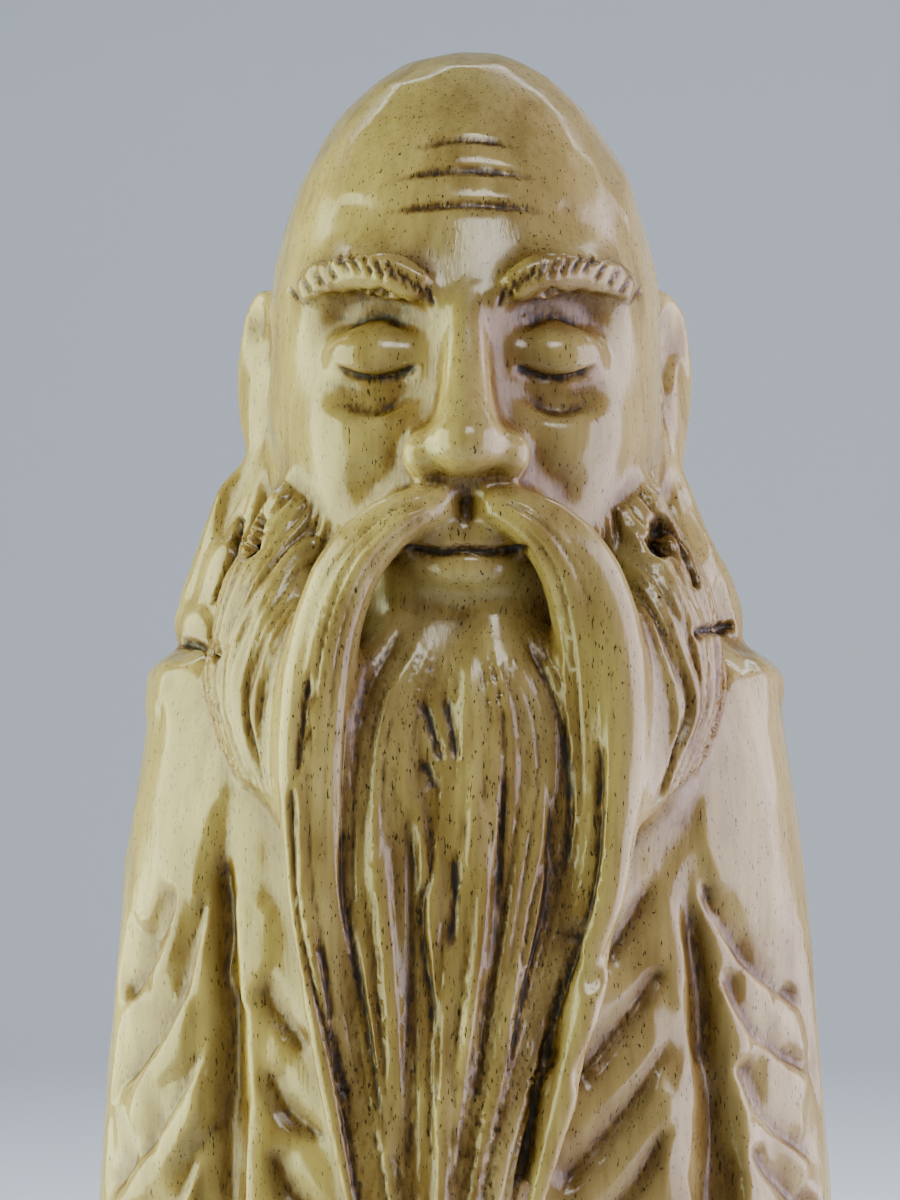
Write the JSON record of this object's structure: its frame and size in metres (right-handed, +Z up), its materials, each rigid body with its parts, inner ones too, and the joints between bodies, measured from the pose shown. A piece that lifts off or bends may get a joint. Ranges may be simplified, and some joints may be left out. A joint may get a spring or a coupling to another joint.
{
  "type": "sage statue",
  "caption": "Standing figure of a bald, long-bearded old sage in a wide-sleeved robe, on a low oval base carved in one with it.",
  "frame": {"origin": "middle of the base's flat underside", "axes": "+Z up through the crown of the head; the figure faces -Y and its left hand is towards +X"},
  "size_m": [0.062, 0.05, 0.21],
  "materials": {
    "polished_bone": "polished"
  },
  "bodies": {
    "root": {"sage_figure": "polished_bone"}
  },
  "joints": []
}
